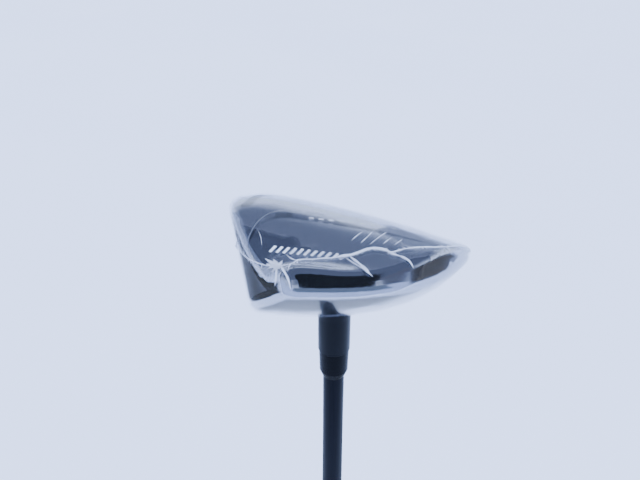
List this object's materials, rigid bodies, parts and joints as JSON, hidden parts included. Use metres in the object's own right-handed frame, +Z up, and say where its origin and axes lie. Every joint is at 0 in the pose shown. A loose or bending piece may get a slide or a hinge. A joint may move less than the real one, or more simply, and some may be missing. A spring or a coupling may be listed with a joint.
{
  "type": "hybrid golf club",
  "caption": "Adjustable hybrid golf club with a hollow V-soled head, bolted loft sleeve, tapered graphite shaft and rubber grip; clear shrink film still on the head.",
  "frame": {"origin": "centre of the butt end of the grip cap, on the shaft axis", "axes": "+Z up along the shaft to the head, face towards -X, toe towards -Y and tilted up, trailing edge towards +X"},
  "size_m": [0.0716, 0.1058, 1.0592],
  "materials": {
    "head_black": "satin",
    "crown_black": "gloss",
    "face_steel": "satin",
    "slot_polymer": "matt",
    "washer_steel": "satin",
    "screw_steel": "satin",
    "retainer_rubber": "matt",
    "clear_film": "gloss",
    "sleeve_anodised": "satin",
    "ferrule_black": "gloss",
    "shaft_graphite": "satin",
    "plug_foam": "matt",
    "tape_backing": "matt",
    "grip_rubber": "matt",
    "cap_rubber": "matt"
  },
  "bodies": {
    "shaft_assembly": {"loft_sleeve": "sleeve_anodised", "ferrule": "ferrule_black", "shaft": "shaft_graphite", "tip_plug": "plug_foam", "grip_tape": "tape_backing", "grip": "grip_rubber", "grip_cap": "cap_rubber"},
    "head": {"head_body": "head_black", "crown": "crown_black", "face_plate": "face_steel", "slot_insert": "slot_polymer", "screw_washer": "washer_steel", "shrink_film": "clear_film"},
    "screw": {"hosel_screw": "screw_steel", "screw_retainer": "retainer_rubber"}
  },
  "joints": [
    {"name": "head_off", "type": "slide", "parent": "shaft_assembly", "child": "head", "axis": [0, 0, 1], "range_m": [0, 0.045]},
    {"name": "screw_turn", "type": "hinge", "parent": "head", "child": "screw", "pos_m": [0, 0, 1], "axis": [0, 0, 1], "continuous": true}
  ]
}
